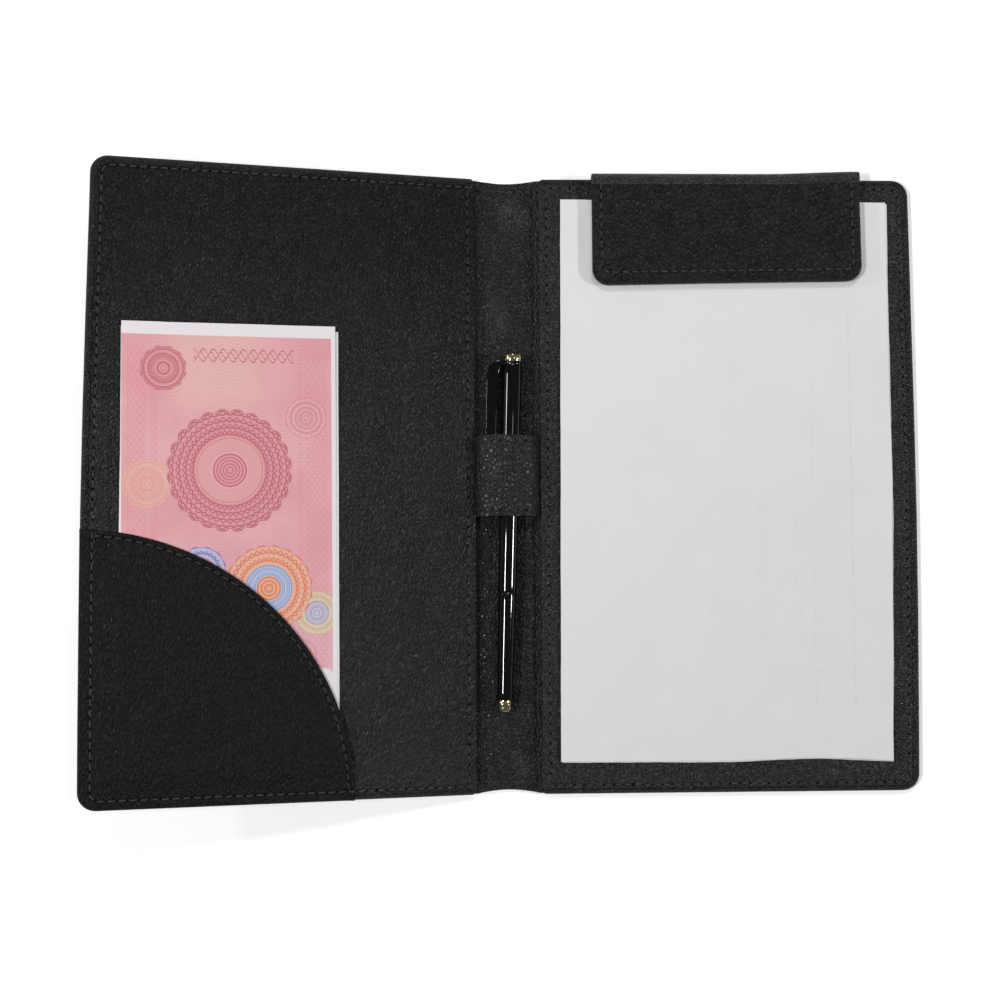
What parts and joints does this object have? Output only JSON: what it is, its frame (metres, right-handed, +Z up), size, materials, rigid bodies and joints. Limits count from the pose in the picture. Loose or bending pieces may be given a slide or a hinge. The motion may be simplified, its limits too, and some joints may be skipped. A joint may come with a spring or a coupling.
{
  "type": "guest check presenter",
  "caption": "Book-style padded guest check presenter with magnetic paper flap, quarter-round cash pocket and a twist pen held in a spine loop.",
  "frame": {"origin": "centre of the footprint on the surface it lies on, with the presenter open", "axes": "+X from the front cover to the back cover, +Y towards the clip end, +Z up"},
  "size_m": [0.3016, 0.2302, 0.0337],
  "materials": {
    "outer_leather": "pebbled grain, soft sheen",
    "inner_leather": "pebbled grain, soft sheen",
    "board": "grey board",
    "wadding": "thin padding",
    "stitching": "black waxed thread",
    "keeper_steel": "plain steel sheet",
    "magnet": "nickel plated",
    "check_paper": "thin matt paper",
    "note_paper": "printed paper",
    "pen_black": "gloss black lacquer",
    "pen_gold": "polished gold colour",
    "refill_metal": "plain tube",
    "pen_inner": "moulded"
  },
  "bodies": {
    "back_cover": {"back_outer_skin": "outer_leather", "back_board": "board", "back_foam": "wadding", "clip_keeper_plate": "keeper_steel", "back_lining": "inner_leather", "back_edge_thread": "stitching", "clip_hinge_strap": "outer_leather"},
    "spine": {"spine_outer_skin": "outer_leather", "spine_stiffener": "board", "spine_lining": "inner_leather", "pen_loop": "outer_leather", "pen_loop_thread": "stitching", "back_crease_leather": "outer_leather", "front_crease_leather": "outer_leather"},
    "front_cover": {"front_outer_skin": "outer_leather", "front_board": "board", "front_foam": "wadding", "front_lining": "inner_leather", "front_edge_thread": "stitching", "cash_pocket": "inner_leather", "pocket_thread": "stitching"},
    "clip_flap": {"clip_top_leather": "outer_leather", "clip_stiffener": "board", "clip_magnets": "magnet", "clip_bottom_leather": "outer_leather", "clip_thread": "stitching"},
    "check_sheets": {"check_sheet_top": "check_paper", "check_sheet_bottom": "check_paper"},
    "cash_notes": {"cash_note_front": "note_paper", "cash_note_back": "note_paper"},
    "pen": {"pen_upper_barrel": "pen_black", "pen_clip": "pen_black", "pen_top_cap": "pen_gold", "pen_twist_mechanism": "pen_inner"},
    "pen_lower": {"pen_lower_barrel": "pen_black", "pen_nose_cone": "pen_gold"},
    "pen_refill": {"pen_refill": "refill_metal"}
  },
  "joints": [
    {"name": "back_fold", "type": "hinge", "parent": "back_cover", "child": "spine", "pos_m": [0.01032, -0.0006, 0.0005], "axis": [0, 1, 0], "range_deg": [0, 90], "deforming": ["back_crease_leather"]},
    {"name": "front_fold", "type": "hinge", "parent": "spine", "child": "front_cover", "pos_m": [-0.01328, -0.0006, 0.0005], "axis": [0, 1, 0], "range_deg": [-12, 78], "deforming": ["front_crease_leather"]},
    {"name": "clip_hinge", "type": "hinge", "parent": "back_cover", "child": "clip_flap", "pos_m": [0.08082, 0.11275, 0.00555], "axis": [-1, 0, 0], "range_deg": [0, 130], "deforming": ["clip_hinge_strap"]},
    {"name": "check_slide", "type": "slide", "parent": "back_cover", "child": "check_sheets", "axis": [0, -1, 0], "range_m": [0, 0.215]},
    {"name": "cash_slide", "type": "slide", "parent": "front_cover", "child": "cash_notes", "axis": [0.5282, 0.8417, -0.1123], "range_m": [0, 0.0775]},
    {"name": "pen_slide", "type": "slide", "parent": "spine", "child": "pen", "axis": [0.0286, 0.9996, 0], "range_m": [0, 0.105]},
    {"name": "pen_twist", "type": "hinge", "parent": "pen", "child": "pen_lower", "pos_m": [-0.00318, -0.0847, 0.0052], "axis": [0.0286, 0.9996, 0], "range_deg": [0, 180]},
    {"name": "refill_slide", "type": "slide", "parent": "pen_lower", "child": "pen_refill", "axis": [-0.0286, -0.9996, 0], "range_m": [0, 0.0035]}
  ],
  "couplings": [
    {"joint": "pen_twist", "follows": "refill_slide", "rad_per_m": 897.5}
  ]
}
